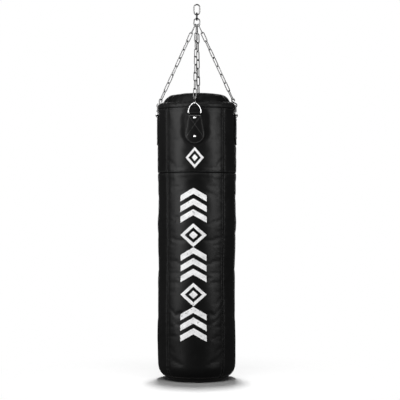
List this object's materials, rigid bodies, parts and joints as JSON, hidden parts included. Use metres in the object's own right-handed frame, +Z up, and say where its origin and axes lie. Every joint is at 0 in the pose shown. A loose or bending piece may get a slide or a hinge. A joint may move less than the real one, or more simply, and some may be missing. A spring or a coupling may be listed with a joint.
{
  "type": "hanging heavy bag",
  "caption": "Cylindrical leather punch bag hung from D-rings on riveted tabs by chain legs that meet at a ring and top link.",
  "frame": {"origin": "the point inside the top link that bears on the hook it hangs from, on the bag's axis", "axes": "+Z up along the bag's axis; the printed front faces -Y; +X is to the right of someone facing the front"},
  "size_m": [0.3738, 0.3738, 1.703],
  "materials": {
    "plated_link": "satin",
    "dark_link": "satin",
    "chain_steel": "satin",
    "dring_steel": "polished",
    "tab_leather": "satin",
    "rivet_steel": "polished",
    "shell_leather": "satin",
    "collar_leather": "satin",
    "lid_leather": "satin",
    "zip_tape": "matte",
    "zip_plastic": "satin",
    "zip_metal": "satin",
    "lining_fabric": "matte",
    "foam": "matte",
    "textile": "matte"
  },
  "bodies": {
    "hanger": {"hanger_link": "plated_link"},
    "joiner": {"joining_link": "dark_link"},
    "ring": {"gathering_ring": "plated_link"},
    "bag": {"chain_front": "chain_steel", "s_hook_front": "chain_steel", "d_ring_front": "dring_steel", "tab_front": "tab_leather", "tab_rivets_front": "rivet_steel", "upper_panel_front": "shell_leather", "lower_panel_front": "shell_leather", "chain_right": "chain_steel", "s_hook_right": "chain_steel", "d_ring_right": "dring_steel", "tab_right": "tab_leather", "tab_rivets_right": "rivet_steel", "upper_panel_right": "shell_leather", "lower_panel_right": "shell_leather", "chain_back": "chain_steel", "s_hook_back": "chain_steel", "d_ring_back": "dring_steel", "tab_back": "tab_leather", "tab_rivets_back": "rivet_steel", "upper_panel_back": "shell_leather", "lower_panel_back": "shell_leather", "chain_left": "chain_steel", "s_hook_left": "chain_steel", "d_ring_left": "dring_steel", "tab_left": "tab_leather", "tab_rivets_left": "rivet_steel", "upper_panel_left": "shell_leather", "lower_panel_left": "shell_leather", "collar_band": "collar_leather", "bottom_panel": "shell_leather", "lid_front": "lid_leather", "lid_back": "lid_leather", "zip_tape_front": "zip_tape", "zip_tape_back": "zip_tape", "zip_teeth": "zip_plastic", "zip_stops": "zip_metal", "lining": "lining_fabric", "foam_sleeve": "foam", "base_foam": "foam", "lid_foam": "foam", "textile_filling": "textile"},
    "slider": {"zip_slider": "zip_metal"},
    "pull": {"zip_pull": "zip_metal"}
  },
  "joints": [
    {"name": "bag_twist", "type": "hinge", "parent": "hanger", "child": "joiner", "pos_m": [0, 0, -0.0362], "axis": [0, 0, 1], "range_deg": [-30, 30]},
    {"name": "side_swing", "type": "hinge", "parent": "joiner", "child": "ring", "pos_m": [0, 0, -0.0672], "axis": [0, 1, 0], "range_deg": [-40, 40]},
    {"name": "front_swing", "type": "hinge", "parent": "ring", "child": "bag", "pos_m": [0, 0, -0.094], "axis": [1, 0, 0], "range_deg": [-30, 30]},
    {"name": "zip_slide", "type": "hinge", "parent": "bag", "child": "slider", "pos_m": [0, 0, -1.002], "axis": [0, 1, 0], "range_deg": [-18.5, 0]},
    {"name": "pull_flip", "type": "hinge", "parent": "slider", "child": "pull", "pos_m": [0.09835, 0, -0.40794], "axis": [0, 1, 0], "range_deg": [0, 165]}
  ]
}
